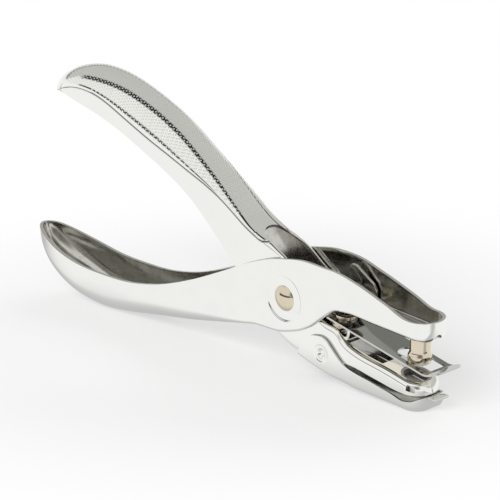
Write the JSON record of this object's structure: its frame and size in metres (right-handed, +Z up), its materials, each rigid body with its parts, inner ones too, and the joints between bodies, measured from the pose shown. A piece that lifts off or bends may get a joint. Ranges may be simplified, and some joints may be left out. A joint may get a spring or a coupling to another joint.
{
  "type": "single hole punch",
  "caption": "Plier-type hand punch for paper: pressed levers on a rivet, a spring-returned punch over a die, a stripper plate and a hinged chip tray.",
  "frame": {"origin": "centre of the overall box in X and Y, on the surface it stands on", "axes": "+X from the handles to the jaws, +Y along the pivot rivet, +Z up"},
  "size_m": [0.1482, 0.0154, 0.0655],
  "materials": {
    "chrome": "mirror chrome plate on pressed steel",
    "nickel": "bright nickel plate, slightly warm",
    "steel": "plain hardened steel"
  },
  "bodies": {
    "die_lever": {"inner_lever": "chrome", "pivot_spacer": "steel", "die_bush": "steel", "stripper_plate": "chrome", "spring_cup": "nickel", "return_spring": "steel"},
    "punch_lever": {"outer_lever": "chrome", "pivot_rivet": "nickel", "punch_pin": "nickel", "spring_seat": "chrome", "seat_rivet": "nickel"},
    "tray": {"chip_tray": "chrome"}
  },
  "joints": [
    {"name": "main_pivot", "type": "hinge", "parent": "die_lever", "child": "punch_lever", "pos_m": [0.02388, 0, 0.01985], "axis": [0, 1, 0], "range_deg": [0, 8.2], "stiffness_Nm_per_rad": 1, "springref_deg": -8.59, "deforming": ["return_spring"]},
    {"name": "tray_hinge", "type": "hinge", "parent": "die_lever", "child": "tray", "pos_m": [0.03618, 0, 0.00805], "axis": [0, 1, 0], "range_deg": [0, 32]}
  ]
}
